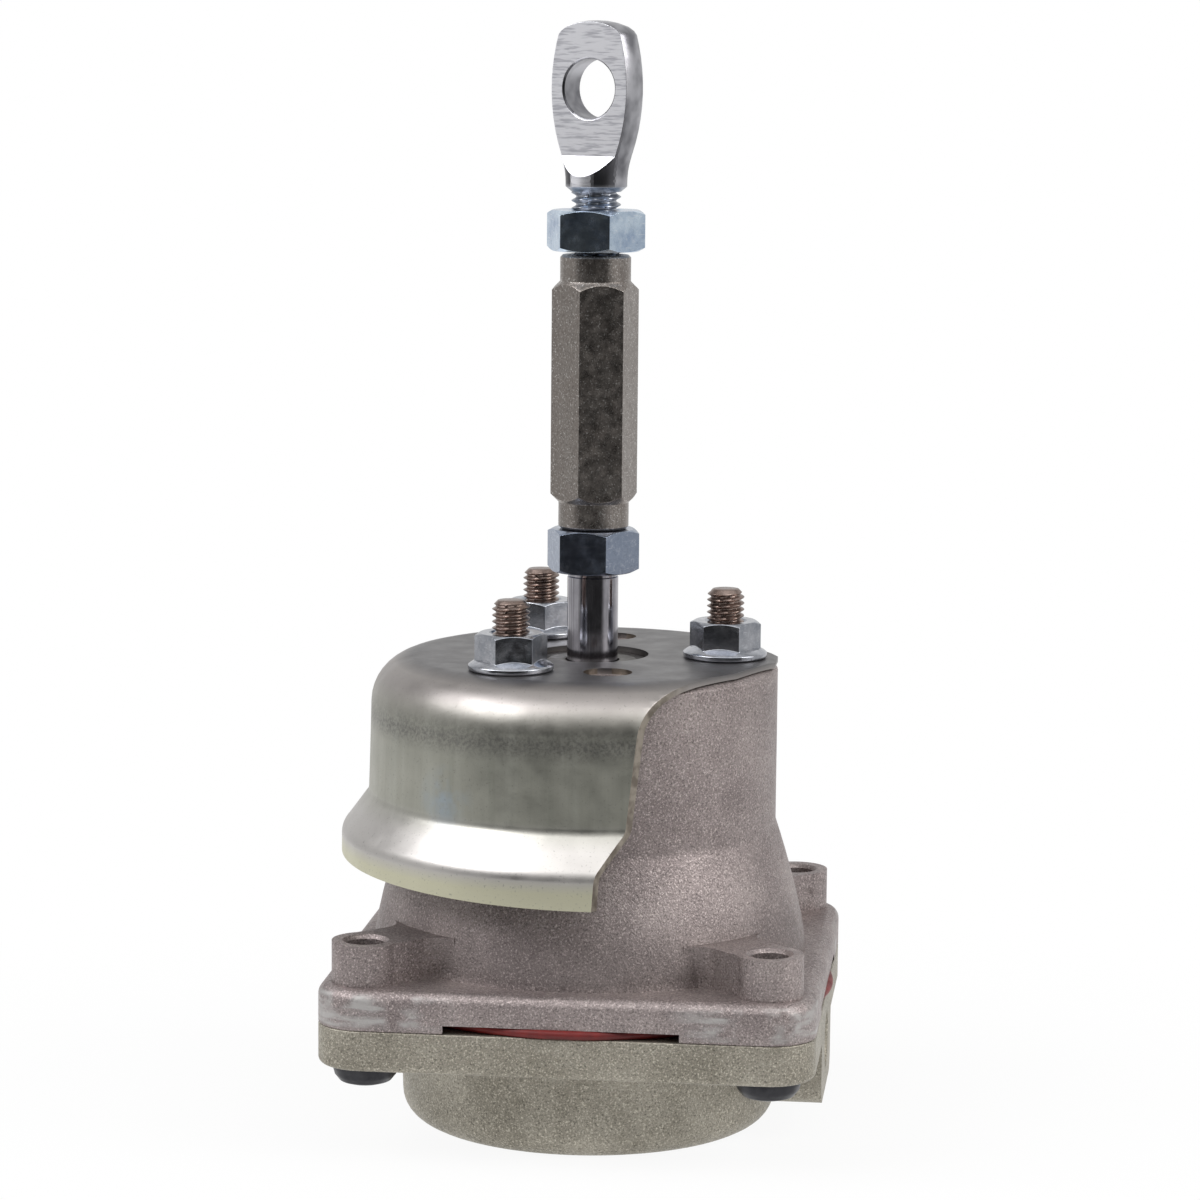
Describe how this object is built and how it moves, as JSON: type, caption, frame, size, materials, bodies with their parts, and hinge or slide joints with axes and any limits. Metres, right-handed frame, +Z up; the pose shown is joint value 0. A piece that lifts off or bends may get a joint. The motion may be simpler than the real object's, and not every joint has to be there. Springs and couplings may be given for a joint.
{
  "type": "wastegate actuator",
  "caption": "Spring-return pneumatic actuator with a cast housing, heat shield, mounting studs and an adjustable push rod ending in a flat eye.",
  "frame": {"origin": "on the rod's axis at the flat underside of the cup", "axes": "+Z up the rod towards the eye end, +X towards the air port and the first mounting stud"},
  "size_m": [0.0802, 0.0808, 0.1771],
  "materials": {
    "lower_casting": "as cast",
    "upper_casting": "as cast",
    "silicone": "matt",
    "piston_aluminium": "turned",
    "plain_steel": "satin",
    "spring_steel": "satin",
    "polished_rod": "polished",
    "zinc": "zinc plated",
    "blue_zinc": "blue zinc plated",
    "bronze": "sintered bronze",
    "seal_rubber": "matt",
    "shield_zinc": "zinc plated",
    "stainless": "rolled thread",
    "nickel": "nickel plated",
    "eye_zinc": "zinc plated",
    "black_oxide": "black oxide"
  },
  "bodies": {
    "housing": {"lower_cover": "lower_casting", "upper_housing": "upper_casting", "diaphragm": "silicone", "return_spring": "spring_steel", "spring_seat": "plain_steel", "guide_bush": "bronze", "rod_seal": "seal_rubber", "seal_washer": "plain_steel", "heat_shield": "shield_zinc", "stud_1": "stainless", "stud_2": "stainless", "stud_3": "stainless", "stud_nut_1": "zinc", "stud_nut_2": "zinc", "stud_nut_3": "zinc", "cover_screw_1": "black_oxide", "cover_screw_2": "black_oxide", "cover_screw_3": "black_oxide", "cover_screw_4": "black_oxide"},
    "rod": {"actuator_rod": "polished_rod", "piston": "piston_aluminium", "retainer_plate": "plain_steel", "piston_washer": "plain_steel", "piston_nut": "zinc", "lower_jam_nut": "zinc"},
    "turnbuckle": {"coupler": "nickel", "upper_jam_nut": "blue_zinc"},
    "eye": {"eye_end": "eye_zinc"}
  },
  "joints": [
    {"name": "rod_stroke", "type": "slide", "parent": "housing", "child": "rod", "axis": [0, 0, 1], "range_m": [0, 0.012], "stiffness_N_per_m": 6000, "springref_m": -0.012, "deforming": ["return_spring", "diaphragm"]},
    {"name": "coupler_turn", "type": "hinge", "parent": "rod", "child": "turnbuckle", "pos_m": [0, 0, 0.12], "axis": [0, 0, 1], "range_deg": [-360, 1080]},
    {"name": "eye_advance", "type": "slide", "parent": "rod", "child": "eye", "axis": [0, 0, 1], "range_m": [-0.0025, 0.0075]}
  ],
  "couplings": [
    {"joint": "eye_advance", "follows": "coupler_turn", "m_per_rad": 0.00039789}
  ]
}
